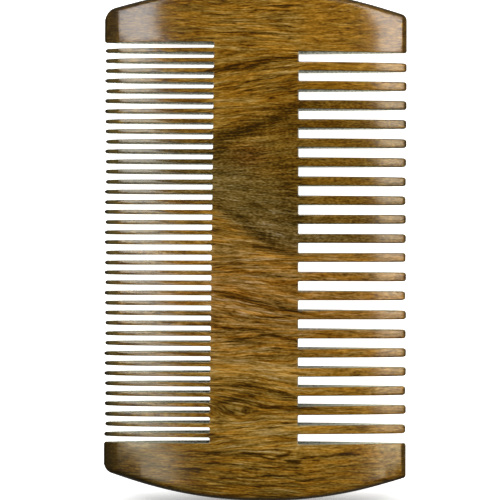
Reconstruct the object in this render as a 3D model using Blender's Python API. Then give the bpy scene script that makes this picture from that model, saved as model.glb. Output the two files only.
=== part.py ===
"""Double-sided beard comb, sawn from one board of green sandalwood.

The comb lies flat on its face: its length runs along Y, its teeth along X and its thickness
along Z. The fine teeth point to -X and the coarse teeth to +X. The spine and the two end
guards are one solid, and every tooth is a solid of its own that starts just clear of the spine.
All sizes are in metres.
"""

import math

import bmesh
import bpy
from mathutils import Vector

# The board
WIDTH = 0.0624  # along X, fine tips to coarse tips
LENGTH = 0.1055  # along Y, crown to crown
THICKNESS = 0.0090  # at the spine
FLAT_HALF_WIDTH = 0.0040  # each face is flat this far either side of the middle
FACE_RADIUS = 0.0930  # and then falls away to the tips along this radius
NOSE_RADIUS = 0.0004  # rounding of the thin edge at the tips
RIM_RADIUS = 0.0013  # rounding of the outer edge of the two end guards

# The two curved ends: radius, where the crown sits along X, and the corner radii in plan
TOP_ARC_RADIUS = 0.1000
TOP_CROWN_X = -0.0014
BOTTOM_ARC_RADIUS = 0.0930
BOTTOM_CROWN_X = 0.0019
FINE_TOP_CORNER_RADIUS = 0.0020
FINE_BOTTOM_CORNER_RADIUS = 0.0014
COARSE_TOP_CORNER_RADIUS = 0.0010
COARSE_BOTTOM_CORNER_RADIUS = 0.0005

# The fine side
FINE_COUNT = 39
FINE_ROOT_X = 0.00900  # distance of the slot bottoms from the middle
FINE_TOP_Y = 0.04157  # where the opening between the guards ends
FINE_BOTTOM_Y = -0.04085
FINE_TOOTH_WIDTH = 0.00092
FINE_TIP_RADIUS = 0.00040

# The coarse side
COARSE_COUNT = 20
COARSE_ROOT_X = 0.00880
COARSE_TOP_Y = 0.03961
COARSE_BOTTOM_Y = -0.04100
COARSE_TOOTH_WIDTH = 0.00191
COARSE_TIP_RADIUS = 0.00080

TOOTH_EDGE_CHAMFER = 0.00022  # the long edges of a tooth are eased
LARGEST_EASE = 0.6  # an eased edge takes at most this share of the half-size it sits on
ROOT_GAP = 0.0003  # between a tooth's root and the spine
CUTTER_MARGIN = 0.004  # how far a cutter reaches past the board

# How finely curves are cut into straight runs
FACE_STEPS = 6
CORNER_STEPS = 4
RIM_STEPS = 3
TIP_STEPS = 3
SHARP_ANGLE = math.radians(35)

SPINE_COLOUR = (0.245, 0.140, 0.048)
FINE_COLOUR = (0.205, 0.122, 0.046)
COARSE_COLOUR = (0.270, 0.158, 0.058)
WOOD_ROUGHNESS = 0.42

HALF_WIDTH = WIDTH / 2
HALF_LENGTH = LENGTH / 2
HALF_THICKNESS = THICKNESS / 2


def clear_scene():
    for obj in list(bpy.data.objects):
        bpy.data.objects.remove(obj, do_unlink=True)


def eased(half, radius, distance):
    """Half-size at a distance from an end whose edge is rounded to a radius."""
    if distance >= radius:
        return half
    return half - radius + math.sqrt(radius**2 - (radius - distance) ** 2)


def half_thickness(x):
    """Half-thickness of the lens section, x metres from the middle of the spine."""
    fall = max(0.0, abs(x) - FLAT_HALF_WIDTH) ** 2 / (2 * FACE_RADIUS)
    return eased(HALF_THICKNESS - fall, NOSE_RADIUS, HALF_WIDTH - abs(x))


def end_y(x, arc_radius, crown_x, corner_radius):
    """Distance of a guard's curved end from the middle of the comb."""
    sagitta = (x - crown_x) ** 2 / (2 * arc_radius)
    return eased(HALF_LENGTH - sagitta, corner_radius, HALF_WIDTH - abs(x))


def top_y(x):
    corner = FINE_TOP_CORNER_RADIUS if x < 0 else COARSE_TOP_CORNER_RADIUS
    return end_y(x, TOP_ARC_RADIUS, TOP_CROWN_X, corner)


def bottom_y(x):
    corner = FINE_BOTTOM_CORNER_RADIUS if x < 0 else COARSE_BOTTOM_CORNER_RADIUS
    return -end_y(x, BOTTOM_ARC_RADIUS, BOTTOM_CROWN_X, corner)


def board_stations():
    """Places along X where the board's section is drawn, close together at the rounded tips."""
    corner = FINE_TOP_CORNER_RADIUS
    face = [
        FLAT_HALF_WIDTH + (HALF_WIDTH - corner - FLAT_HALF_WIDTH) * i / FACE_STEPS
        for i in range(FACE_STEPS + 1)
    ]
    tip = [
        HALF_WIDTH - corner * (1 - math.sin(math.pi / 2 * i / CORNER_STEPS))
        for i in range(1, CORNER_STEPS + 1)
    ]
    side = sorted(face + tip + [HALF_WIDTH - NOSE_RADIUS / 2])
    crowns = [TOP_CROWN_X, BOTTOM_CROWN_X]
    return [-x for x in reversed(side)] + crowns + side


def rim_section(x):
    """The board's outline across its length at x: a long bar with rounded rims."""
    high = half_thickness(x)
    radius = min(RIM_RADIUS, high * LARGEST_EASE)
    corners = (
        (top_y(x) - radius, high - radius, 0),
        (bottom_y(x) + radius, high - radius, 90),
        (bottom_y(x) + radius, radius - high, 180),
        (top_y(x) - radius, radius - high, 270),
    )
    points = []
    for y, z, start in corners:
        for i in range(RIM_STEPS + 1):
            angle = math.radians(start + 90 * i / RIM_STEPS)
            points.append(Vector((x, y + radius * math.cos(angle), z + radius * math.sin(angle))))
    return points


def tooth_section(x, half_width, half_height):
    """A rectangle with eased corners."""
    ease = min(TOOTH_EDGE_CHAMFER, half_width * LARGEST_EASE, half_height * LARGEST_EASE)
    w = half_width
    h = half_height
    outline = (
        (w, h - ease),
        (w - ease, h),
        (ease - w, h),
        (-w, h - ease),
        (-w, ease - h),
        (ease - w, -h),
        (w - ease, -h),
        (w, ease - h),
    )
    return [Vector((x, y, z)) for y, z in outline]


def loft(name, sections):
    """A closed mesh through a row of sections that all have the same number of points."""
    bm = bmesh.new()
    rings = [[bm.verts.new(point) for point in section] for section in sections]
    count = len(rings[0])
    for ring, following in zip(rings, rings[1:], strict=False):
        for i in range(count):
            j = (i + 1) % count
            bm.faces.new((ring[i], ring[j], following[j], following[i]))
    bm.faces.new(rings[0])
    bm.faces.new(rings[-1])
    bmesh.ops.recalc_face_normals(bm, faces=bm.faces)
    mesh = bpy.data.meshes.new(name)
    bm.to_mesh(mesh)
    bm.free()
    mesh.shade_smooth()
    mesh.set_sharp_from_angle(angle=SHARP_ANGLE)
    return mesh


def tooth_mesh(name, root_x, half_width, tip_radius):
    """A tooth along +X, from x = 0 at its root end. It follows the board's lens section."""
    start = root_x + ROOT_GAP
    straight = HALF_WIDTH - tip_radius
    body = [start + (straight - start) * i / TIP_STEPS for i in range(TIP_STEPS + 1)]
    tip = [
        HALF_WIDTH - tip_radius * (1 - math.sin(math.pi / 2 * i / TIP_STEPS))
        for i in range(1, TIP_STEPS + 1)
    ]
    sections = []
    for x in body + tip:
        wide = eased(half_width, tip_radius, HALF_WIDTH - x)
        sections.append(tooth_section(x - start, wide, half_thickness(x)))
    return loft(name, sections)


def wood(name, colour):
    material = bpy.data.materials.new(name)
    material.use_nodes = True
    shader = material.node_tree.nodes["Principled BSDF"]
    shader.inputs["Base Color"].default_value = (*colour, 1.0)
    shader.inputs["Roughness"].default_value = WOOD_ROUGHNESS
    shader.inputs["Metallic"].default_value = 0.0
    return material


def add_object(name, mesh, parent, colour):
    """One sub-part. Its material sits on the object, because teeth share their mesh."""
    obj = bpy.data.objects.new(name, mesh)
    bpy.context.scene.collection.objects.link(obj)
    obj.parent = parent
    if not mesh.materials:
        mesh.materials.append(None)
    obj.material_slots[0].link = "OBJECT"
    obj.material_slots[0].material = wood(f"{name}_wood", colour)
    return obj


def add_cutter(name, parent, inner_x, outer_x, low_y, high_y):
    """A box that clears one row of teeth out of the board."""
    bm = bmesh.new()
    bmesh.ops.create_cube(bm, size=1.0)
    bmesh.ops.scale(
        bm,
        vec=(abs(outer_x - inner_x), high_y - low_y, THICKNESS + CUTTER_MARGIN),
        verts=bm.verts,
    )
    mesh = bpy.data.meshes.new(name)
    bm.to_mesh(mesh)
    bm.free()
    obj = bpy.data.objects.new(name, mesh)
    bpy.context.scene.collection.objects.link(obj)
    obj.parent = parent
    obj.location = ((inner_x + outer_x) / 2, (low_y + high_y) / 2, 0)
    obj.hide_render = True
    obj.display_type = "WIRE"
    return obj


def add_body(parent):
    """The spine and both end guards: the whole board less the two rows of teeth."""
    mesh = loft("comb_body", [rim_section(x) for x in board_stations()])
    body = add_object("comb_body", mesh, parent, SPINE_COLOUR)
    outer = HALF_WIDTH + CUTTER_MARGIN
    openings = (
        add_cutter("fine_opening", parent, -FINE_ROOT_X, -outer, FINE_BOTTOM_Y, FINE_TOP_Y),
        add_cutter("coarse_opening", parent, COARSE_ROOT_X, outer, COARSE_BOTTOM_Y, COARSE_TOP_Y),
    )
    for opening in openings:
        cut = body.modifiers.new(opening.name, "BOOLEAN")
        cut.operation = "DIFFERENCE"
        cut.solver = "EXACT"
        cut.object = opening
    return body


def add_teeth(name, parent, mesh, side, root_x, count, low_y, high_y, width, colour):
    """A row of equal teeth with equal gaps between the guards, numbered from +Y down."""
    pitch = (high_y - low_y + width) / (count + 1)
    for i in range(1, count + 1):
        tooth = add_object(f"{name}_{i:02d}", mesh, parent, colour)
        tooth.location = (side * (root_x + ROOT_GAP), high_y + width / 2 - pitch * i, 0)
        tooth.rotation_euler.z = 0 if side > 0 else math.pi


def build():
    clear_scene()
    comb = bpy.data.objects.new("comb", None)
    bpy.context.scene.collection.objects.link(comb)
    comb.location.z = HALF_THICKNESS
    add_body(comb)
    fine = tooth_mesh("fine_tooth", FINE_ROOT_X, FINE_TOOTH_WIDTH / 2, FINE_TIP_RADIUS)
    add_teeth(
        "fine_tooth", comb, fine, -1, FINE_ROOT_X, FINE_COUNT,
        FINE_BOTTOM_Y, FINE_TOP_Y, FINE_TOOTH_WIDTH, FINE_COLOUR,
    )
    coarse = tooth_mesh("coarse_tooth", COARSE_ROOT_X, COARSE_TOOTH_WIDTH / 2, COARSE_TIP_RADIUS)
    add_teeth(
        "coarse_tooth", comb, coarse, 1, COARSE_ROOT_X, COARSE_COUNT,
        COARSE_BOTTOM_Y, COARSE_TOP_Y, COARSE_TOOTH_WIDTH, COARSE_COLOUR,
    )


build()
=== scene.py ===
"""Looks of the double-sided beard comb: one board of hand-polished green sandalwood.

The comb lies flat on a light table: length along Y, fine teeth towards -X, coarse teeth towards
+X. Every tooth is a piece of its own that meets a short stub on the body in one shared section,
and one grain runs through all the pieces, so the comb reads as a single board.
Lengths are in millimetres, and turned into metres where something is added to the scene.
"""

import math
import random
from types import SimpleNamespace

import bmesh
import bpy
from mathutils import Matrix, Vector


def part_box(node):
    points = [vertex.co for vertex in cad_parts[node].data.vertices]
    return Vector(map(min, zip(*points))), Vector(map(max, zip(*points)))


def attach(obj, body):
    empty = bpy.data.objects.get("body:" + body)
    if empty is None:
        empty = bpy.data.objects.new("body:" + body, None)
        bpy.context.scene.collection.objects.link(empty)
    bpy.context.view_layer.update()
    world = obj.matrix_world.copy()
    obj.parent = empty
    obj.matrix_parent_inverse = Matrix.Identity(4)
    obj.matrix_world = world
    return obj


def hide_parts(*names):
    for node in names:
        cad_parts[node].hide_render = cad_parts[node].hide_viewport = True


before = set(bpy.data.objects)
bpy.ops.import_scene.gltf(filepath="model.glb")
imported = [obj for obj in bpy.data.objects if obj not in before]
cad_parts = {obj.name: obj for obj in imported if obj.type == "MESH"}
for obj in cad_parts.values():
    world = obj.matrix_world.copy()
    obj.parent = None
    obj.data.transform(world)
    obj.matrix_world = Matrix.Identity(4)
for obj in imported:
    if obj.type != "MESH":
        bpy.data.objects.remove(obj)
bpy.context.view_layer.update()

MM = 0.001
SLOT = "green_sandalwood"
BODY = "root"


def box_mm(node):
    """A CAD node's lowest and highest corners, in millimetres."""
    low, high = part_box(node)
    return low / MM, high / MM


# The board's own shape, as the CAD part has it
BOARD_LOW, BOARD_HIGH = box_mm("comb_body")
HALF_WIDTH = BOARD_HIGH.x
HALF_LENGTH = BOARD_HIGH.y
HALF_THICKNESS = BOARD_HIGH.z / 2
FLAT_HALF_WIDTH = 4.0
FACE_RADIUS = 93.0
TOP_ARC_RADIUS = 100.0
TOP_CROWN_X = -1.4
BOTTOM_ARC_RADIUS = 93.0
BOTTOM_CROWN_X = 1.9
TOP_CORNERS = (2.0, 1.0)  # the +Y guard's corner radii, on the fine side and on the coarse side
BOTTOM_CORNERS = (1.4, 0.5)
ROOT_GAP = 0.3  # the CAD teeth start this far from the spine

# Roundings, which are finer here than in the CAD part
RIM_RADIUS = 1.3
TIP_EDGE_RADIUS = 0.38
TIP_EDGE_LENGTH = 4.0  # the edges grow rounder over this last stretch before the tips
FINE_NOSE = (2.75, 0.62)  # length and drop of the bevel that thins each face to the tips
COARSE_NOSE = (0.95, 0.30)  # on the guards only
PLAIN_NOSE = (0.3, 0.0)  # the coarse teeth keep their thickness to the tips
GUARDS_START = 39.3  # this far from the middle along Y
NOSE_FLATNESS = 0.6  # share of the drop that is a flat bevel; the rest is a rounded end
LARGEST_EDGE = 0.85  # a rounding takes at most this share of the half-thickness
LARGEST_TOOTH_EDGE = 0.9  # and, on a tooth or beside a slot, this share of a tooth's half-width
GUARD_CORNER_RADIUS = 0.45
STUB_LENGTH = 0.45

# How finely curves are cut
EDGE_STEPS = 5
ARC_STEPS = 5
RUN_STEP = 1.4
NOSE_STEP = 0.3
STATION_STEP = 1.3
CREASE_STEP = 0.12  # a cut this far either side of the line where a nose begins
NOSE_SHARES = (0.25, 0.45, 0.62, 0.76, 0.87)  # cuts along a nose, as shares of its length
CUTS_ALONG = 24  # cuts across each face, from end to end
CUT_SHIFT = 0.37  # how far those cuts are shifted towards +Y
SHARP_ANGLE = math.radians(40)

# How the teeth of a row differ
TIP_SHORTFALL = 0.18  # the most that a tooth falls short
TIP_SPREAD = (0.75, 1.1)  # a rounded tip's size varies between these shares
TIP_SWAY = 0.07  # the most that a tip leans to either side


class Row:
    """One row of teeth, seen as if it pointed to +X. turned is -1 for the row that points to -X.

    fillet rounds the slots' bottoms and edge the teeth's long edges. tip is the length and the
    radius of a tip's rounding, and slant is how far the slots' bottoms drift for each unit of Y.
    """

    def __init__(self, name, count, turned, fillet, edge, tip, slant):
        self.name = name
        self.count = count
        self.turned = turned
        self.fillet = fillet
        self.edge = edge
        self.tip = tip
        self.slant = slant
        boxes = [box_mm(self.node(i)) for i in range(count)]
        self.half_width = (boxes[0][1].y - boxes[0][0].y) / 2
        self.limit = self.half_width * LARGEST_TOOTH_EDGE
        self.centres = sorted(turned * (low.y + high.y) / 2 for low, high in boxes)
        self.root_x = min(abs(low.x) if turned > 0 else abs(high.x) for low, high in boxes) - ROOT_GAP
        pitch = (self.centres[-1] - self.centres[0]) / (count - 1)
        self.low = self.centres[0] - pitch + self.half_width
        self.high = self.centres[-1] + pitch - self.half_width

    def root_at(self, y):
        """Where the slots end. The saw's stop drifted a little along the row."""
        return self.root_x + self.slant * y

    def node(self, index):
        """A tooth's node. They are numbered from the +Y end down."""
        return f"{self.name}_tooth_{index + 1:02d}"

    def node_at(self, place):
        """The node of the tooth at a place counted from the row's own low end."""
        return self.node(self.count - 1 - place if self.turned > 0 else place)


FINE = Row("fine", 39, -1, fillet=0.30, edge=0.13, tip=(0.80, 0.40), slant=0.009)
COARSE = Row("coarse", 20, 1, fillet=0.18, edge=0.28, tip=(0.72, 0.60), slant=0.0)


def smooth_step(value):
    t = min(1.0, max(0.0, value))
    return t * t * (3 - 2 * t)


def eased(half, radius, distance):
    """Half-size at a distance from an end whose edge is rounded to a radius."""
    if distance >= radius:
        return half
    return half - radius + math.sqrt(radius**2 - (radius - distance) ** 2)


def nose(x, y):
    """Length and drop of the bevelled nose that a place is nearest to."""
    if x < 0:
        return FINE_NOSE
    return COARSE_NOSE if abs(y) > GUARDS_START else PLAIN_NOSE


def lens_half(x, y):
    """Half-thickness at x: flat along the spine, a long arc outwards, then a bevelled nose."""
    fall = max(0.0, abs(x) - FLAT_HALF_WIDTH) ** 2 / (2 * FACE_RADIUS)
    length, drop = nose(x, y)
    share = min(1.0, max(0.0, 1 - (HALF_WIDTH - abs(x)) / length))
    rounded = 1 - math.sqrt(1 - share**2)
    return HALF_THICKNESS - fall - drop * (NOSE_FLATNESS * share + (1 - NOSE_FLATNESS) * rounded)


def end_y(x, arc_radius, crown_x, corner_radius):
    """Distance of a guard's curved end from the middle of the comb."""
    sagitta = (x - crown_x) ** 2 / (2 * arc_radius)
    return eased(HALF_LENGTH - sagitta, corner_radius, HALF_WIDTH - abs(x))


def top_y(x):
    return end_y(x, TOP_ARC_RADIUS, TOP_CROWN_X, TOP_CORNERS[x >= 0])


def bottom_y(x):
    return -end_y(x, BOTTOM_ARC_RADIUS, BOTTOM_CROWN_X, BOTTOM_CORNERS[x >= 0])


def edge_radius(x, y, plain, limit=RIM_RADIUS):
    """Rounding of an edge at x. It grows towards the tips, which are sanded to a soft nose."""
    near_tip = smooth_step((abs(x) - HALF_WIDTH + TIP_EDGE_LENGTH) / TIP_EDGE_LENGTH)
    wanted = plain + (max(TIP_EDGE_RADIUS, plain) - plain) * near_tip
    return min(wanted, limit, LARGEST_EDGE * lens_half(x, y))


class Outline:
    """A closed plan outline, counter-clockwise, with the rounding wanted at each point.

    A row's outline is drawn as if the row pointed to +X, and turned says where it really points.
    """

    def __init__(self, turned=1):
        self.turned = turned
        self.points = []
        self.radii = []
        self.seams = set()

    def add(self, x, y, plain, limit=RIM_RADIUS):
        self.points.append(Vector((x, y)))
        self.radii.append(edge_radius(self.turned * x, self.turned * y, plain, limit))

    def line(self, start_x, end_x, y, plain, limit=RIM_RADIUS):
        """Points along X, closer together on the nose. The outer end itself is left out."""
        nose_x = HALF_WIDTH - nose(self.turned, self.turned * y)[0]
        x = min(start_x, end_x)
        outer_x = max(start_x, end_x)
        places = []
        while x < outer_x - NOSE_STEP / 2:
            places.append(x)
            x += RUN_STEP if x + RUN_STEP < nose_x else NOSE_STEP
        if end_x < start_x:
            places.reverse()
        for x in places:
            self.add(x, y, plain, limit)

    def arc(self, centre, radius, start, end, plain, limit=RIM_RADIUS, stretch=1.0):
        """Points of an arc between two angles in degrees, both ends included, stretched along X."""
        for i in range(ARC_STEPS + 1):
            angle = math.radians(start + (end - start) * i / ARC_STEPS)
            x = centre[0] + radius * stretch * math.cos(angle)
            y = centre[1] + radius * math.sin(angle)
            self.add(x, y, plain, limit)

    def seam(self, start, end, plain, limit=RIM_RADIUS):
        """The straight cut where a tooth meets its stub. It has no rounding of its own."""
        self.add(*start, plain, limit)
        self.seams.add(len(self.points) - 1)
        self.add(*end, plain, limit)

    def extend(self, other):
        """Adds another outline's points, turned half round for a row that points to -X."""
        shift = len(self.points)
        self.points += [point * other.turned for point in other.points]
        self.radii += other.radii
        self.seams |= {index + shift for index in other.seams}

    def slides(self):
        """How far each point moves inwards for each unit of inset."""
        count = len(self.points)
        normals = []
        for i, point in enumerate(self.points):
            along = (self.points[(i + 1) % count] - point).normalized()
            normals.append(Vector((-along.y, along.x)))
        moves = []
        for i in range(count):
            before = normals[i - 1]
            after = normals[i]
            if i in self.seams:
                moves.append(before)
            elif (i - 1) % count in self.seams:
                moves.append(after)
            else:
                moves.append((before + after) / (1 + before.dot(after)))
        return moves


def add_ring(bm, outline, moves, side, step):
    """One ring of the rounded edge. Step 0 is on the wall and EDGE_STEPS on the face."""
    angle = math.pi / 2 * step / EDGE_STEPS
    ring = []
    for point, radius, move in zip(outline.points, outline.radii, moves, strict=True):
        moved = point + move * radius * (1 - math.cos(angle))
        z = lens_half(moved.x, moved.y) - radius * (1 - math.sin(angle))
        ring.append(bm.verts.new((moved.x, moved.y, side * z)))
    return ring


def cut_face(bm, face, stations):
    """Cuts a face across at the stations and bends it onto the lens surface."""
    side = 1 if face.verts[0].co.z > 0 else -1
    geometry = [face, *face.edges, *face.verts]
    for axis, place in stations:
        normal = Vector((0, 0, 0))
        normal[axis] = 1
        cut = bmesh.ops.bisect_plane(
            bm, geom=geometry, dist=1e-5, plane_co=normal * place, plane_no=normal
        )
        geometry = cut["geom"]
    faces = [item for item in geometry if isinstance(item, bmesh.types.BMFace)]
    for vert in {vert for part in faces for vert in part.verts}:
        vert.co.z = side * lens_half(vert.co.x, vert.co.y)
    bmesh.ops.triangulate(bm, faces=[part for part in faces if len(part.verts) > 4])


def plate(name, outline, stations):
    """A closed solid of lens thickness over a plan outline, with every edge rounded."""
    bm = bmesh.new()
    moves = outline.slides()
    rings = [add_ring(bm, outline, moves, 1, step) for step in range(EDGE_STEPS, -1, -1)]
    rings += [add_ring(bm, outline, moves, -1, step) for step in range(EDGE_STEPS + 1)]
    count = len(rings[0])
    for upper, lower in zip(rings, rings[1:], strict=False):
        for i in range(count):
            j = (i + 1) % count
            bm.faces.new((upper[i], lower[i], lower[j], upper[j]))
    cut_face(bm, bm.faces.new(rings[0]), stations)
    cut_face(bm, bm.faces.new(reversed(rings[-1])), stations)
    bmesh.ops.translate(bm, vec=(0, 0, HALF_THICKNESS), verts=bm.verts)
    bmesh.ops.scale(bm, vec=(MM, MM, MM), verts=bm.verts)
    return add_piece(name, bm)


def add_piece(name, bm):
    """Turns a bmesh into an object that is smooth but for its sharp edges."""
    mesh = bpy.data.meshes.new(name)
    bm.to_mesh(mesh)
    bm.free()
    mesh.shade_smooth()
    mesh.set_sharp_from_angle(angle=SHARP_ANGLE)
    piece = bpy.data.objects.new(name, mesh)
    bpy.context.scene.collection.objects.link(piece)
    return piece


def x_stations(side):
    """Cuts along one curved flank and its nose. The flat strip down the spine needs none."""
    length = nose(side, HALF_LENGTH)[0]
    nose_x = HALF_WIDTH - length
    count = round((nose_x - FLAT_HALF_WIDTH) / STATION_STEP)
    places = [FLAT_HALF_WIDTH + (nose_x - FLAT_HALF_WIDTH) * i / count for i in range(count)]
    places += [nose_x - CREASE_STEP, nose_x, nose_x + CREASE_STEP]
    places += [nose_x + length * share for share in NOSE_SHARES]
    return [(0, side * x) for x in places]


def y_stations():
    """Cuts from end to end, so that no face runs the comb's whole length."""
    return [(1, HALF_LENGTH * (2 * i / CUTS_ALONG - 1) + CUT_SHIFT) for i in range(1, CUTS_ALONG)]


def row_outline(row):
    """The body's edge along one row: guard, slot bottoms and stubs, and the other guard."""
    edge = Outline(row.turned)
    corner = GUARD_CORNER_RADIUS
    nose_x = HALF_WIDTH - corner
    fillet = row.fillet
    plain = row.edge
    limit = row.limit

    def inner_x(y):
        return row.root_at(y) + fillet

    edge.arc((nose_x, row.low - corner), corner, 0, 90, plain)
    edge.line(nose_x, inner_x(row.low) + NOSE_STEP, row.low, plain)
    edge.arc((inner_x(row.low), row.low + fillet), fillet, 270, 180, plain, limit)
    for centre in row.centres:
        below = centre - row.half_width
        above = centre + row.half_width
        seam_x = row.root_at(centre) + STUB_LENGTH
        edge.arc((inner_x(below), below - fillet), fillet, 180, 90, plain, limit)
        edge.seam((seam_x, below), (seam_x, above), plain, limit)
        edge.arc((inner_x(above), above + fillet), fillet, 270, 180, plain, limit)
    edge.arc((inner_x(row.high), row.high - fillet), fillet, 180, 90, plain, limit)
    edge.line(inner_x(row.high) + NOSE_STEP, nose_x, row.high, plain)
    edge.arc((nose_x, row.high + corner), corner, 270, 360, plain)
    return edge


def end_outline(edge_y, corners, direction):
    """A guard's curved end, in the direction of travel, close-set at its rounded corners."""
    edge = Outline()
    middle = HALF_WIDTH - max(corners)
    count = round(2 * middle / RUN_STEP)
    places = [-middle + 2 * middle * i / count for i in range(count + 1)]
    for side, corner in zip((-1, 1), corners, strict=True):
        for i in range(1, ARC_STEPS + 2):
            across = HALF_WIDTH - corner * (1 - math.sin(math.pi / 2 * i / (ARC_STEPS + 1)))
            places.append(side * across)
    for x in sorted(set(places), reverse=direction < 0):
        edge.add(x, edge_y(x), RIM_RADIUS)
    return edge


def make_body():
    """The spine, both guards and the teeth's stubs in one solid."""
    outline = Outline()
    outline.extend(row_outline(COARSE))
    outline.extend(end_outline(top_y, TOP_CORNERS, -1))
    outline.extend(row_outline(FINE))
    outline.extend(end_outline(bottom_y, BOTTOM_CORNERS, 1))
    body = plate("body", outline, x_stations(-1) + x_stations(1) + y_stations())
    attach(body, BODY)
    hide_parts("comb_body")
    return body


def tooth_outline(row, centre, rng):
    """A tooth from its seam to its tip. Hand sanding leaves no two tips quite alike."""
    edge = Outline(row.turned)
    seam_x = row.root_at(centre) + STUB_LENGTH
    tip_x = HALF_WIDTH - rng.uniform(0.0, TIP_SHORTFALL)
    length, radius = (size * rng.uniform(*TIP_SPREAD) for size in row.tip)
    stretch = length / radius
    sway = rng.uniform(-TIP_SWAY, TIP_SWAY)
    plain = row.edge
    limit = row.limit
    low = centre - row.half_width
    high = centre + row.half_width
    end_x = tip_x - length
    edge.line(seam_x, end_x, low, plain, limit)
    edge.arc((end_x, low + radius), radius, 270, 360, plain, limit, stretch)
    edge.arc((end_x, high - radius), radius, 0, 90, plain, limit, stretch)
    edge.line(end_x, seam_x, high, plain, limit)
    edge.seams.add(len(edge.points) - 1)
    for point in edge.points:
        point.y += sway * ((point.x - seam_x) / (tip_x - seam_x)) ** 2
    return edge


def make_row(row, seed):
    """A row's teeth, one piece for each CAD node."""
    rng = random.Random(seed)
    stations = x_stations(row.turned)
    teeth = []
    for place, centre in enumerate(row.centres):
        outline = Outline()
        outline.extend(tooth_outline(row, centre, rng))
        node = row.node_at(place)
        tooth = plate(node.replace("_tooth_", "_tine_"), outline, stations)
        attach(tooth, BODY)
        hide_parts(node)
        teeth.append(tooth)
    return teeth


# ---------------------------------------------------------------------------------- material


def rgb(red, green, blue):
    """A colour given as 0-255 screen values, as the linear colour that a shader takes."""
    linear = []
    for value in (red, green, blue):
        share = value / 255
        linear.append(share / 12.92 if share <= 0.04045 else ((share + 0.055) / 1.055) ** 2.4)
    return (*linear, 1.0)


class Graph:
    """Short names for the shader nodes that a material is made of."""

    def __init__(self, name):
        self.material = bpy.data.materials.new(name)
        self.material.use_nodes = True
        self.tree = self.material.node_tree
        self.shader = self.tree.nodes["Principled BSDF"]
        self.place = self.tree.nodes.new("ShaderNodeTexCoord")

    def plug(self, value, socket):
        if isinstance(value, bpy.types.NodeSocket):
            self.tree.links.new(value, socket)
        else:
            socket.default_value = value

    def new(self, kind, *values):
        node = self.tree.nodes.new(kind)
        for value, socket in zip(values, node.inputs, strict=False):
            self.plug(value, socket)
        return node

    def set(self, name, value):
        self.plug(value, self.shader.inputs[name])

    def place_mm(self):
        """The x, y and z of a point on the piece, in millimetres."""
        scaled = self.tree.nodes.new("ShaderNodeVectorMath")
        scaled.operation = "SCALE"
        self.plug(self.place.outputs["Object"], scaled.inputs[0])
        scaled.inputs["Scale"].default_value = 1 / MM
        return self.new("ShaderNodeSeparateXYZ", scaled.outputs[0]).outputs

    def math(self, operation, *values):
        node = self.new("ShaderNodeMath", *values)
        node.operation = operation
        return node.outputs[0]

    def add(self, first, *others):
        total = first
        for other in others:
            total = self.math("ADD", total, other)
        return total

    def weighted(self, start, *parts):
        """start plus each value times its weight."""
        total = start
        for value, weight in parts:
            total = self.math("MULTIPLY_ADD", value, weight, total)
        return total

    def minus(self, a, b):
        return self.math("SUBTRACT", a, b)

    def times(self, a, b):
        return self.math("MULTIPLY", a, b)

    def size(self, value):
        return self.math("ABSOLUTE", value)

    def clamp(self, value, low, high):
        return self.math("MINIMUM", self.math("MAXIMUM", value, low), high)

    def most(self, first, *others):
        total = first
        for other in others:
            total = self.math("MAXIMUM", total, other)
        return total

    def noise(self, x, y, z, detail=2.0, roughness=0.5):
        """Noise around 0, seldom beyond -0.35 and 0.35."""
        node = self.tree.nodes.new("ShaderNodeTexNoise")
        self.plug(self.new("ShaderNodeCombineXYZ", x, y, z).outputs[0], node.inputs["Vector"])
        node.inputs["Scale"].default_value = 1.0
        node.inputs["Detail"].default_value = detail
        node.inputs["Roughness"].default_value = roughness
        return self.minus(node.outputs["Fac"], 0.5)

    def step(self, value, low, high):
        """A soft step from 0 at low to 1 at high."""
        node = self.new("ShaderNodeMapRange", value, low, high, 0.0, 1.0)
        node.interpolation_type = "SMOOTHSTEP"
        return node.outputs[0]

    def fall(self, value, low, high):
        """A soft step from 1 at low to 0 at high."""
        return self.minus(1.0, self.step(value, low, high))

    def bell(self, value, width):
        """A soft hump: 1 where the value is 0, and small beyond the width."""
        share = self.times(value, 1 / width)
        return self.math("EXPONENT", self.math("MULTIPLY", self.times(share, share), -1.0))

    def curve(self, x, start, slope, bend):
        """start + slope * x + bend * x * x"""
        return self.math("MULTIPLY_ADD", self.math("MULTIPLY_ADD", x, bend, slope), x, start)

    def colours(self, value, stops):
        """The colour at a value, along a ramp of (place, colour) stops."""
        node = self.tree.nodes.new("ShaderNodeValToRGB")
        self.plug(value, node.inputs[0])
        elements = node.color_ramp.elements
        while len(elements) < len(stops):
            elements.new(0.5)
        for element, (place, colour) in zip(elements, stops, strict=True):
            element.position = place
            element.color = colour
        return node.outputs[0]

    def blend(self, factor, a, b, kind="MIX"):
        """Colour a where the factor is 0, and b, or a times b for MULTIPLY, where it is 1."""
        node = self.tree.nodes.new("ShaderNodeMix")
        node.data_type = "RGBA"
        node.blend_type = kind
        self.plug(factor, node.inputs["Factor"])
        for value, socket in zip((a, b), (node.inputs[6], node.inputs[7]), strict=True):
            self.plug(value, socket)
        return node.outputs[2]

    def drawn(self, value, low, high, points):
        """A curve drawn through (place, height) points; heights are -1 to 1."""
        node = self.tree.nodes.new("ShaderNodeFloatCurve")
        share = self.new("ShaderNodeMapRange", value, low, high, 0.0, 1.0).outputs[0]
        self.plug(share, node.inputs["Value"])
        curve = node.mapping.curves[0]
        node.mapping.extend = "HORIZONTAL"
        node.mapping.clip_min_y = -1
        ends = (points[0], points[-1])
        for point, (place, height) in zip(curve.points, ends, strict=True):
            point.location = ((place - low) / (high - low), height)
        for place, height in points[1:-1]:
            curve.points.new((place - low) / (high - low), height)
        node.mapping.update()
        return node.outputs[0]


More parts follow.
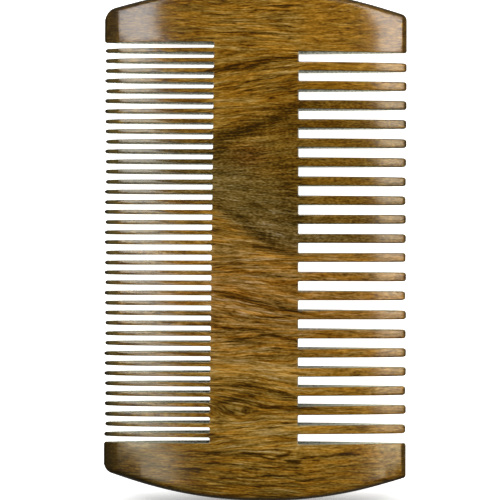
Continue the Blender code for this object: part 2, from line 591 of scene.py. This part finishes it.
# How the fibres lean along the comb's length: (y, slope), positive for up to the right
FIBRE_LEAN = (
    (-53.0, -0.03),
    (-46.0, -0.06),
    (-41.0, 0.06),
    (-37.0, 0.08),
    (-32.0, -0.15),
    (-28.0, -0.06),
    (-24.0, 0.00),
    (-19.0, 0.05),
    (-13.0, -0.16),
    (-8.0, -0.04),
    (-4.0, 0.02),
    (1.0, -0.13),
    (7.0, -0.08),
    (14.0, 0.00),
    (20.0, 0.06),
    (27.0, 0.05),
    (33.0, 0.18),
    (38.0, 0.07),
    (42.0, -0.04),
    (48.0, 0.03),
    (53.0, 0.05),
)
LEAN_REACH = 11.0  # the lean stops growing this far from the middle

MARK_REACH = 1.5  # a marking has faded out at this many of its half-lengths

# Dark markings of this board: middle x, y there, slope, bend, half-length, half-thickness, depth
MARKINGS = (
    (5.5, 48.7, 0.02, 0.0, 1.8, 0.30, 0.40),
    (-7.5, 47.0, 0.02, 0.0, 2.4, 0.35, 0.25),
    (-2.0, 43.3, -0.03, 0.0, 5.0, 0.24, 0.30),
    (3.0, 37.9, 0.14, 0.004, 7.0, 0.55, 0.44),
    (-4.5, 36.2, 0.12, 0.0, 6.0, 0.60, 0.40),
    (0.6, 33.6, 0.20, 0.0, 8.5, 0.17, 0.40),
    (-1.0, 31.6, 0.14, 0.0, 7.0, 0.16, 0.30),
    # the heart's upper edge, in three steps
    (6.4, 27.3, 0.42, 0.0, 3.6, 1.30, 0.16),
    (1.6, 24.7, 0.40, 0.0, 4.4, 1.10, 0.15),
    (-4.4, 22.6, 0.40, 0.0, 4.8, 1.40, 0.16),
    (-8.2, 19.6, 0.40, 0.0, 2.2, 2.00, 0.16),
    # inside the heart
    (0.6, 18.8, 0.05, 0.0, 2.2, 0.35, 0.24),
    (6.5, 15.6, 0.0, 0.0, 2.8, 1.50, 0.20),
    (7.4, 11.6, -0.1, 0.0, 2.6, 1.60, 0.22),
    (0.2, 8.2, -0.60, 0.0, 2.4, 0.50, 0.14),
    (7.6, 5.6, -0.50, 0.0, 2.8, 2.60, 0.13),
    # the heart's lower edge
    (-3.4, 5.6, -0.40, 0.0, 3.8, 0.55, 0.14),
    (1.0, 1.9, -0.45, 0.0, 3.8, 0.85, 0.20),
    (-5.0, 3.2, -0.05, 0.0, 2.0, 0.30, 0.24),
    (3.6, -0.7, -0.10, 0.0, 5.0, 0.35, 0.24),
    (7.2, -2.0, -0.30, 0.0, 2.8, 0.60, 0.24),
    (-5.4, -4.6, 0.06, 0.0, 3.2, 0.70, 0.16),
    (4.0, -7.2, 0.04, 0.0, 2.2, 0.60, 0.18),
    # the lower spine
    (-4.5, -10.8, -0.20, 0.0, 5.5, 0.60, 0.26),
    (4.5, -13.0, -0.18, 0.0, 6.5, 0.50, 0.31),
    (4.0, -14.9, 0.03, 0.0, 4.5, 0.18, 0.34),
    (-5.0, -17.1, -0.12, 0.0, 5.0, 0.45, 0.20),
    (4.2, -18.9, -0.20, 0.0, 5.0, 0.35, 0.26),
    (-3.6, -20.0, 0.02, 0.0, 2.6, 0.80, 0.22),
    (6.8, -21.7, 0.0, 0.0, 3.6, 0.30, 0.34),
    (0.8, -23.0, 0.02, 0.0, 9.0, 0.16, 0.28),
    (-4.5, -28.9, -0.06, 0.0, 6.5, 0.75, 0.25),
    (3.5, -30.0, -0.16, 0.0, 6.5, 0.34, 0.34),
    (-1.6, -31.0, 0.0, 0.0, 2.8, 0.60, 0.26),
    (5.6, -31.4, -0.12, 0.0, 4.6, 0.22, 0.30),
    (-5.4, -32.4, 0.08, 0.0, 2.6, 0.35, 0.36),
    (2.9, -33.4, 0.0, 0.0, 2.4, 0.36, 0.60),
    (8.0, -33.7, -0.02, 0.0, 5.0, 0.34, 0.50),
    (7.5, -36.4, 0.16, 0.0, 3.0, 0.45, 0.32),
    (-6.5, -39.6, -0.20, 0.0, 3.6, 0.40, 0.36),
    (-7.5, -43.1, -0.03, 0.0, 7.5, 0.55, 0.30),
    (-0.6, -43.0, -0.10, 0.0, 2.2, 0.32, 0.50),
    (2.6, -43.8, -0.18, 0.0, 1.7, 0.36, 0.52),
    (5.6, -43.2, 0.18, 0.0, 1.5, 0.38, 0.50),
    (7.8, -44.5, -0.16, 0.0, 1.6, 0.36, 0.52),
    (10.6, -43.8, 0.14, 0.0, 1.7, 0.38, 0.46),
    (13.2, -44.6, -0.10, 0.0, 1.6, 0.32, 0.36),
    (-5.0, -45.0, -0.04, 0.0, 6.0, 0.16, 0.34),
    (-15.0, -43.6, -0.10, 0.0, 4.0, 0.18, 0.26),
    (9.0, -48.6, 0.12, 0.0, 6.0, 0.18, 0.34),
    (17.5, -43.2, 0.06, 0.0, 5.0, 0.40, 0.32),
    (-12.0, -46.0, -0.05, 0.0, 6.0, 0.20, 0.36),
    (3.0, -47.4, 0.06, 0.0, 9.0, 0.18, 0.38),
    (20.0, -45.6, 0.10, 0.0, 5.0, 0.22, 0.36),
    (-4.0, -49.6, 0.03, 0.0, 7.0, 0.25, 0.30),
    (2.0, -45.9, 0.05, 0.0, 3.6, 0.20, 0.36),
)

# Pale markings, in the same terms
PALE_MARKINGS = (
    (3.0, 34.6, 0.20, 0.0, 7.0, 0.50, 0.18),
    (-5.5, 30.0, 0.05, 0.0, 6.0, 1.8, 0.12),
    (1.4, 21.8, 0.12, 0.0, 3.8, 0.60, 0.14),
    (-2.8, 20.6, 0.30, 0.0, 3.0, 0.50, 0.14),
    (-6.0, 12.6, 0.0, 0.0, 3.6, 1.6, 0.04),
    (-3.8, 8.2, -0.10, 0.0, 2.8, 1.1, 0.12),
    (2.8, 7.4, -0.62, 0.0, 3.4, 0.90, 0.13),
    (2.9, 3.6, -0.45, 0.0, 2.8, 1.10, 0.10),
    (-5.0, 0.9, 0.05, 0.0, 4.0, 0.45, 0.16),
    (1.6, -2.9, 0.10, 0.0, 3.4, 0.50, 0.20),
    (-5.0, -8.2, 0.05, 0.0, 6.0, 1.6, 0.12),
    (-6.0, -12.8, -0.10, 0.0, 3.0, 0.60, 0.18),
    (-1.6, -14.1, 0.0, 0.0, 2.4, 0.45, 0.22),
    (0.0, -25.6, -0.02, 0.0, 14.0, 1.5, 0.17),
    (7.0, -26.6, -0.02, 0.0, 3.0, 0.80, 0.12),
    (0.0, -37.6, 0.0, 0.0, 12.0, 1.8, 0.20),
)
KNOT = (-1.9, -34.1, 0.80)  # x, y and radius of the one small knot
TEETH_MARGIN = 0.6  # a row's material starts this far inside the slots' bottoms


def reaching(markings, stretch):
    """The markings that show anywhere in a stretch of X."""
    low, high = stretch
    found = []
    for row in markings:
        middle = row[0]
        reach = MARK_REACH * row[4]
        if low < middle + reach and middle - reach < high:
            found.append(row)
    return found


def marking_sum(wood, at, markings):
    """The joint depth of a list of markings, each a soft bar along its own curve."""
    total = 0.0
    for middle, height, slope, bend, half_length, half_thickness, depth in markings:
        along = wood.minus(at.x, middle)
        off_curve = wood.minus(at.mark_y, wood.curve(along, height, slope, bend))
        across = wood.times(off_curve, 1 / half_thickness)
        share = wood.times(along, 1 / half_length)
        square = wood.times(share, share)
        fade = wood.math("MULTIPLY_ADD", across, across, wood.times(square, square))
        mark = wood.math("EXPONENT", wood.times(fade, -1.0))
        total = wood.weighted(total, (mark, depth))
    return total


def spot(wood, x, y, centre, radii):
    """A soft round or oval patch: 1 at its centre and small beyond its radii."""
    dx = wood.times(wood.minus(x, centre[0]), 1 / radii[0])
    dy = wood.times(wood.minus(y, centre[1]), 1 / radii[1])
    fade = wood.math("MULTIPLY_ADD", dx, dx, wood.times(dy, dy))
    return wood.math("EXPONENT", wood.times(fade, -1.0))


def fibre_heights(wood, x, y, z, near_x):
    """Which fibre a point is on, and the height at which the markings see it."""
    lean = wood.drawn(y, -54.0, 54.0, FIBRE_LEAN)
    drift = wood.noise(wood.times(x, 0.045), wood.times(y, 0.10), wood.times(z, 0.08), 1.0)
    waves = wood.noise(wood.times(x, 0.13), wood.times(y, 0.38), wood.times(z, 0.30), 1.0)
    ripple = wood.noise(wood.times(x, 0.35), wood.times(y, 1.1), wood.times(z, 0.6), 1.0)
    knot_x, knot_y, radius = KNOT
    near_knot = spot(wood, x, y, (knot_x, knot_y), (radius * 3.5, radius * 2.4))
    bow = wood.times(wood.times(wood.minus(y, knot_y), near_knot), -0.48)
    leaned = wood.minus(y, wood.times(lean, near_x))
    fibre = wood.weighted(wood.add(leaned, bow), (drift, 2.2), (waves, 0.7), (ripple, 0.18))
    return fibre, wood.weighted(wood.add(y, bow), (waves, 1.2), (ripple, 0.4))


def knot_rings(wood, x, y):
    """The knot's dark middle and the dark ring around it."""
    knot_x, knot_y, radius = KNOT
    across = wood.minus(x, knot_x)
    along = wood.times(wood.minus(y, knot_y), 1.2)
    squares = wood.math("MULTIPLY_ADD", across, across, wood.times(along, along))
    away = wood.math("SQRT", squares)
    ring = wood.bell(wood.minus(away, radius * 0.95), radius * 0.26)
    return wood.weighted(wood.bell(away, radius * 0.55), (ring, 0.45))


def heart_share(wood, near_x, mark_y):
    """The olive heart, between two curved edges that open to the right."""
    upper = wood.minus(wood.curve(near_x, 25.8, 0.43, -0.004), mark_y)
    lower = wood.minus(mark_y, wood.curve(near_x, 0.6, -0.55, 0.03))
    return wood.times(wood.step(upper, -2.6, 1.2), wood.step(lower, -1.6, 2.8))


def on_guards(wood, x, y):
    """1 on the two end guards, 0 on the spine's length between them."""
    start = wood.math("MULTIPLY_ADD", wood.step(x, -1.0, 1.0), -1.5, 40.8)
    return wood.step(wood.minus(wood.size(y), start), -0.25, 0.25)


def fine_band(wood, x, worn):
    """Painted shade in a band along the bevelled nose on the fine side, wider towards the -Y end."""
    inner = wood.math("MULTIPLY_ADD", worn, 2.4, 3.3)
    outer = wood.math("MULTIPLY_ADD", worn, -1.8, 2.1)
    return wood.fall(wood.add(x, HALF_WIDTH), outer, inner)


def slot_walls(wood, y, normal):
    """1 on the slots' sawn walls, 0 on the faces and on the polished outer edge."""
    upright = wood.fall(wood.size(normal[2]), 0.25, 0.85)
    return wood.times(upright, wood.fall(wood.size(y), 41.7, 42.2))


def read_place(wood):
    """Where a point lies on the comb and in the wood, each as a shader value."""
    at = SimpleNamespace()
    at.x, at.y, at.z = wood.place_mm()
    at.normal = wood.new("ShaderNodeSeparateXYZ", wood.place.outputs["Normal"]).outputs
    near_x = wood.clamp(at.x, -LEAN_REACH, LEAN_REACH)
    at.fibre, at.mark_y = fibre_heights(wood, at.x, at.y, at.z, near_x)
    at.heart = heart_share(wood, near_x, at.mark_y)
    at.fine_side = wood.fall(at.x, -12.0, -8.5)
    at.coarse_side = wood.step(at.x, 8.5, 11.0)
    # darker and more olive towards the fine side's outer flank
    at.handled = wood.fall(at.x, -25.0, -17.0)
    at.worn = wood.fall(at.y, -46.0, -20.0)  # the wax is worn towards the -Y end, and the painted shade on the fine nose and corner widens there
    at.guards = on_guards(wood, at.x, at.y)
    # painted shade along the fine side's bevelled nose; tips is its share on the teeth
    at.band = fine_band(wood, at.x, at.worn)
    at.tips = wood.times(at.band, wood.minus(1.0, at.guards))
    at.walls = slot_walls(wood, at.y, at.normal)
    at.mottle = wood.noise(wood.times(at.x, 2.0), wood.times(at.y, 0.9), wood.times(at.z, 0.3))
    return at


def streak(wood, at, along, across, deep, detail=2.0, roughness=0.5):
    """Noise drawn out along the fibres. The three numbers are its rate of change per mm."""
    x = wood.times(at.x, along)
    return wood.noise(x, wood.times(at.fibre, across), wood.times(at.z, deep), detail, roughness)


def read_streaks(wood, at):
    """Streaks of four sizes, with hairlines, short open pores and a little grain."""
    streaks = SimpleNamespace()
    streaks.broad = streak(wood, at, 0.022, 0.20, 0.11)
    streaks.middle = streak(wood, at, 0.06, 0.85, 0.55, roughness=0.6)
    streaks.fine = streak(wood, at, 0.17, 2.9, 1.595, roughness=0.65)
    streaks.dashes = streak(wood, at, 0.55, 4.8, 2.64, detail=1.0)
    streaks.grain = streak(wood, at, 1.5, 4.2, 4.0, detail=0.0)
    streaks.hairs = wood.bell(streak(wood, at, 0.07, 0.62, 0.33, detail=1.0), 0.022)
    streaks.pits = wood.step(streaks.dashes, 0.12, 0.24)
    return streaks


def darkness(wood, at, streaks, stretch):
    """How dark the bare wood is, from pale gold at 0 to near black at 1."""
    calm = wood.weighted(1.0, (at.heart, -0.42), (at.fine_side, -0.25), (at.coarse_side, -0.25))
    fibres = wood.weighted(0.0, (streaks.fine, 1.50), (streaks.dashes, 0.70), (streaks.hairs, 0.16))
    grain = wood.times(streaks.grain, wood.math("MULTIPLY_ADD", at.heart, 0.25, 0.40))
    dark = marking_sum(wood, at, reaching(MARKINGS, stretch))
    figure = wood.times(dark, wood.math("MULTIPLY_ADD", streaks.fine, 2.4, 1.0))
    pale = marking_sum(wood, at, reaching(PALE_MARKINGS, stretch))
    tone = wood.add(0.45, wood.times(fibres, calm), grain, figure)
    return wood.weighted(
        wood.minus(tone, pale),
        (streaks.broad, 0.30),
        (streaks.middle, 0.34),
        (streaks.pits, 0.14),
        (at.heart, 0.19),
        (knot_rings(wood, at.x, at.y), 0.55),
        (at.handled, 0.12),
        (at.fine_side, 0.08),
        (at.coarse_side, -0.03),
        (wood.step(at.y, 42.0, 50.0), 0.035),
        (wood.bell(wood.minus(at.mark_y, 30.5), 6.0), 0.07),
        (wood.fall(at.y, -50.0, -41.0), 0.10),
    )


def end_rim_shade(wood, at):
    """Painted shade along the rims of the two curved ends, wider at the fine side's corner towards
    -Y.
    """
    corner = wood.times(wood.fall(at.x, -30.0, -14.0), at.worn)
    reach = wood.math("MULTIPLY_ADD", corner, 0.75, 0.80)
    ends = ((TOP_CROWN_X, TOP_ARC_RADIUS, 1), (BOTTOM_CROWN_X, BOTTOM_ARC_RADIUS, -1))
    rims = []
    for crown_x, radius, side in ends:
        across = wood.minus(at.x, crown_x)
        end = wood.math("MULTIPLY_ADD", wood.times(across, across), -0.5 / radius, HALF_LENGTH)
        away = wood.most(wood.minus(end, wood.times(at.y, side)), 0.0)
        rim = wood.bell(wood.math("DIVIDE", away, reach), 1.0)
        rims.append(wood.math("MINIMUM", wood.times(rim, 1.25), 1.0))
    return rims


def edge_shade(wood, at):
    """Painted shade on the board's rims, on its bevelled noses and at the ends of its teeth."""
    left = wood.most(wood.add(at.x, HALF_WIDTH), 0.0)
    right = wood.most(wood.minus(HALF_WIDTH, at.x), 0.0)
    depth = wood.math("MULTIPLY_ADD", at.worn, 0.16, 0.78)
    fine_nose = wood.times(wood.times(at.band, at.guards), depth)
    tip_reach = wood.add(wood.fall(at.y, -36.0, -18.0), 0.9)
    fine_edge = wood.bell(wood.math("DIVIDE", left, tip_reach), 1.0)
    coarse_nose = wood.times(wood.fall(right, 0.7, 1.15), wood.times(at.guards, 0.8))
    coarse_edge = wood.bell(right, 0.50)
    return wood.most(*end_rim_shade(wood, at), fine_nose, fine_edge, coarse_nose, coarse_edge)


def slot_shade(wood, at):
    """Painted shade on the slots' walls: dark near their bottoms, and further out where the walls
    face +Y.
    """
    out = wood.size(at.x)
    near_root = wood.fall(out, FINE.root_x - 0.5, FINE.root_x + 2.6)
    further = wood.fall(out, FINE.root_x + 1.0, FINE.root_x + 17.0)
    facing = wood.step(at.normal[1], 0.2, 0.7)
    outer = wood.times(wood.math("MULTIPLY_ADD", at.mottle, 2.6, wood.times(further, 0.6)), facing)
    inner = wood.times(near_root, wood.math("MULTIPLY_ADD", facing, 0.50, 0.22))
    return wood.clamp(wood.most(inner, outer), 0.0, 1.0)


def painted_shade_share(wood, at):
    """Painted shade: the edges and noses, rounded edges that turn along Y, the fine tips towards -Y
    and the slots' walls.
    """
    wall_shade = wood.times(at.walls, slot_shade(wood, at))
    # painted shade on rounded edges whose faces turn along Y
    sideways = wood.step(wood.size(at.normal[1]), 0.15, 0.6)
    sideways_shade = wood.times(wood.times(sideways, wood.minus(1.0, at.walls)), 0.5)
    worn_tips = wood.times(wood.times(at.tips, at.worn), 0.3)
    return wood.most(edge_shade(wood, at), wall_shade, sideways_shade, worn_tips)


WOOD_COLOURS = (
    (0.0, rgb(186, 153, 86)),
    (0.22, rgb(160, 125, 58)),
    (0.42, rgb(133, 100, 33)),
    (0.60, rgb(108, 77, 17)),
    (0.80, rgb(79, 51, 3)),
    (1.0, rgb(48, 29, 1)),
)
# near-black painted shade for the rims, noses, tooth ends and slot walls
PAINTED_SHADE_COLOUR = rgb(26, 21, 7)
TIP_SHADE_COLOUR = rgb(80, 69, 33)  # painted shade on the fine teeth's bevelled tips
SAWN_AND_LIT_COLOURS = (rgb(158, 166, 142), rgb(232, 237, 220))  # rough saw-cut walls, dark and pale; pale sawn wood, painted paler still with the glowing table's light

# Tints that multiply the wood's colour
RUSSET = (1.10, 0.93, 0.50, 1.0)
OLIVE = (0.91, 1.01, 1.50, 1.0)
GREY_GREEN = (0.93, 1.12, 2.40, 1.0)
DUSTY = (1.05, 0.97, 1.45, 1.0)

# The wax's shine
CLEAR = (1.0, 1.0, 1.0, 1.0)
PALE_YELLOW = (1.0, 1.0, 0.86, 1.0)
YELLOW = (1.0, 0.96, 0.74, 1.0)
AMBER = (1.0, 0.86, 0.64, 1.0)


def wood_colour(wood, at, fine, tone):
    """A darkness's colour, with russet and olive fibres, a grey-green heart and dusty patches."""
    colour = wood.colours(tone, WOOD_COLOURS)
    hue = wood.noise(wood.times(at.x, 0.11), wood.times(at.fibre, 1.3), 3.0)
    above_slant = wood.add(at.mark_y, wood.times(at.x, 0.6))
    deep_heart = wood.times(at.heart, wood.fall(above_slant, 9.0, 20.0))
    upper = wood.step(at.mark_y, 22.0, 30.0)
    russet = wood.step(hue, -0.02, 0.16)
    russet = wood.weighted(russet, (upper, 0.45), (at.coarse_side, 0.5), (fine, 0.8))
    russet = wood.times(russet, wood.weighted(1.0, (at.heart, -0.55), (deep_heart, -0.45)))
    olive = wood.step(wood.times(hue, -1.0), -0.02, 0.14)
    olive = wood.weighted(wood.add(olive, at.handled), (at.heart, 0.25))
    dusty = spot(wood, at.x, at.mark_y, (-1.5, 18.4), (3.2, 2.2))
    dusty = wood.weighted(dusty, (wood.bell(wood.add(at.mark_y, 11.0), 13.0), 0.8))
    tints = ((russet, RUSSET), (olive, OLIVE), (deep_heart, GREY_GREEN), (dusty, DUSTY))
    for share, tint in tints:
        colour = wood.blend(wood.clamp(share, 0.0, 1.0), colour, tint, "MULTIPLY")
    return colour


def sheen_tint(wood, at):
    """The wax is clear on the upper guard, yellowish on the rest and amber on the coarse teeth."""
    teeth = wood.blend(at.coarse_side, PALE_YELLOW, AMBER)
    return wood.blend(at.guards, teeth, wood.blend(at.worn, CLEAR, YELLOW))


def set_polish(wood, at, streaks, painted_shade):
    """A waxed polish that the pores break up, and none on the sawn walls."""
    roughness = wood.weighted(
        0.125,
        (streaks.fine, 0.05),
        (streaks.pits, 0.08),
        (painted_shade, 0.3),
        (at.tips, 0.1),
        (at.worn, 0.05),
        (at.walls, 0.3),
    )
    wood.set("Roughness", roughness)
    polish = wood.math("MULTIPLY_ADD", at.walls, -0.85, 1.0)
    shine = wood.math("MULTIPLY_ADD", painted_shade, -0.42, 0.5)
    wood.set("Specular IOR Level", wood.times(shine, polish))
    wood.set("Specular Tint", sheen_tint(wood, at))


def set_relief(wood, streaks):
    """The fibres stand out a little from the polished surface."""
    bump = wood.tree.nodes.new("ShaderNodeBump")
    bump.inputs["Strength"].default_value = 0.22
    bump.inputs["Distance"].default_value = 0.03 * MM
    height = wood.weighted(0.0, (streaks.fine, -1.0), (streaks.dashes, -0.5))
    wood.plug(height, bump.inputs["Height"])
    wood.set("Normal", bump.outputs[0])


def sandalwood(name, stretch):
    """Green sandalwood: gold-brown fibres along X, dark figure, an olive heart and open pores.

    The wood is one and the same everywhere. A piece's material leaves out the markings that
    don't reach the piece's stretch of X.
    """
    wood = Graph(name)
    at = read_place(wood)
    streaks = read_streaks(wood, at)
    painted_shade = painted_shade_share(wood, at)
    colour = wood_colour(wood, at, streaks.fine, darkness(wood, at, streaks, stretch))
    # painted shade on the fine teeth's bevelled tips
    colour = wood.blend(wood.times(at.tips, 0.8), colour, TIP_SHADE_COLOUR)
    # the slots' walls: pale sawn wood with painted light from the glowing table under them
    sawn_and_lit = wood.blend(wood.step(at.mottle, -0.12, 0.12), *SAWN_AND_LIT_COLOURS)
    colour = wood.blend(wood.times(at.walls, 0.9), colour, sawn_and_lit)
    # painted shade over the rims, noses, tooth ends and slot walls
    wood.set("Base Color", wood.blend(wood.times(painted_shade, 0.92), colour, PAINTED_SHADE_COLOUR))
    set_polish(wood, at, streaks, painted_shade)
    set_relief(wood, streaks)
    return wood.material


# ------------------------------------------------------------------------ stage, light, camera


def table_material():
    """A white light table that glows under the comb's teeth."""
    table = Graph("light_table")
    x, y, _ = table.place_mm()
    glow = table.times(table.fall(table.size(x), 33.0, 60.0), table.fall(table.size(y), 50.1, 53.8))
    table.set("Base Color", (0.93, 0.93, 0.93, 1.0))
    table.set("Roughness", 0.9)
    table.set("Specular IOR Level", 0.1)
    table.set("Emission Color", (1.0, 1.0, 1.0, 1.0))
    table.set("Emission Strength", table.math("MULTIPLY_ADD", glow, 0.90, 0.19))
    return table.material


FLAT_RINGS = (200.0, 600.0, 1500.0)  # radii of the floor's flat part
COVE_RADIUS = 900.0  # the floor curves up beyond it
COVE_ANGLES = range(10, 90, 10)
FLOOR_SIDES = 64
LIGHT_DISTANCE = 800.0
WHITE = (1.0, 1.0, 1.0)
WARM_WHITE = (1.0, 0.98, 0.94)
WORLD_COLOUR = (0.9, 0.95, 1.0, 1.0)
WORLD_STRENGTH = 0.04
CAMERA_HEIGHT = 520.0  # above the comb's mid-plane
CAMERA_LENS = 180.9


def make_stage():
    """A wide floor that curves up all round, far from the comb."""
    rings = [(radius, 0.0) for radius in FLAT_RINGS]
    for degrees in COVE_ANGLES:
        angle = math.radians(degrees)
        radius = FLAT_RINGS[-1] + COVE_RADIUS * math.sin(angle)
        rings.append((radius, COVE_RADIUS * (1 - math.cos(angle))))
    bm = bmesh.new()
    centre = bm.verts.new((0, 0, 0))
    previous = None
    for radius, height in rings:
        ring = []
        for i in range(FLOOR_SIDES):
            angle = 2 * math.pi * i / FLOOR_SIDES
            corner = (radius * math.cos(angle), radius * math.sin(angle), height)
            ring.append(bm.verts.new(Vector(corner) * MM))
        for i in range(FLOOR_SIDES):
            j = (i + 1) % FLOOR_SIDES
            if previous is None:
                bm.faces.new((centre, ring[i], ring[j]))
            else:
                bm.faces.new((previous[i], ring[i], ring[j], previous[j]))
        previous = ring
    floor = add_piece("floor", bm)
    floor.data.materials.append(table_material())


def add_softbox(name, place, size, roll, radiance, colour):
    """An area light that faces the comb. Its power follows from its radiance."""
    light = bpy.data.lights.new(name, "AREA")
    light.shape = "RECTANGLE"
    light.size = size[0] * MM
    light.size_y = size[1] * MM
    light.energy = math.pi * radiance * light.size * light.size_y
    light.color = colour
    lamp = bpy.data.objects.new(name, light)
    bpy.context.scene.collection.objects.link(lamp)
    lamp.location = Vector(place) * MM
    away = Vector(place).normalized()
    across = Vector((0, 1, 0)).cross(away).normalized()
    facing = Matrix((across, away.cross(across), away)).transposed()
    turn = Matrix.Rotation(math.radians(roll), 3, "Z")
    lamp.rotation_euler = (facing @ turn).to_euler()


def leaning(degrees, along):
    """A place LIGHT_DISTANCE off, leaning from the vertical towards +X, shifted along the comb."""
    lean = math.radians(degrees)
    return (LIGHT_DISTANCE * math.sin(lean), along, LIGHT_DISTANCE * math.cos(lean))


def make_lights():
    """Strip boxes and weaker fills that the flanks mirror, and a soft key beyond the +Y end."""
    add_softbox("left_strip", leaning(-31.4, 260.0), (152.0, 600.0), 14.0, 8.4, WHITE)
    add_softbox("left_fill", leaning(-23.5, -120.0), (150.0, 160.0), 14.0, 4.3, WHITE)
    add_softbox("right_strip", leaning(34.3, 260.0), (120.0, 600.0), 0.0, 8.8, WARM_WHITE)
    add_softbox("right_fill", leaning(34.3, -110.0), (120.0, 140.0), 0.0, 5.2, WARM_WHITE)
    add_softbox("key", (0.0, 620.0, 780.0), (450.0, 450.0), 0.0, 9.6, WHITE)
    world = bpy.data.worlds.new("studio")
    world.use_nodes = True
    background = world.node_tree.nodes["Background"]
    background.inputs["Color"].default_value = WORLD_COLOUR
    background.inputs["Strength"].default_value = WORLD_STRENGTH
    bpy.context.scene.world = world


def make_camera():
    """Straight above the comb, close enough for the slots' walls to show."""
    data = bpy.data.cameras.new("camera")
    data.sensor_width = 36.0
    data.lens = CAMERA_LENS
    data.clip_start = 0.01
    camera = bpy.data.objects.new("camera", data)
    bpy.context.scene.collection.objects.link(camera)
    camera.location = Vector((-1.14, -1.16, HALF_THICKNESS + CAMERA_HEIGHT)) * MM
    camera.rotation_euler = (0.0, 0.0, math.radians(0.15))
    bpy.context.scene.camera = camera
    bpy.context.scene.view_settings.view_transform = "Standard"


def main():
    groups = (
        ("body", (-HALF_WIDTH, HALF_WIDTH), [make_body()]),
        ("fine", (-HALF_WIDTH, TEETH_MARGIN - FINE.root_x), make_row(FINE, 11)),
        ("coarse", (COARSE.root_x - TEETH_MARGIN, HALF_WIDTH), make_row(COARSE, 12)),
    )
    for name, stretch, pieces in groups:
        finish = sandalwood(f"{SLOT}_{name}", stretch)
        for piece in pieces:
            piece.data.materials.append(finish)
    make_stage()
    make_lights()
    make_camera()


main()
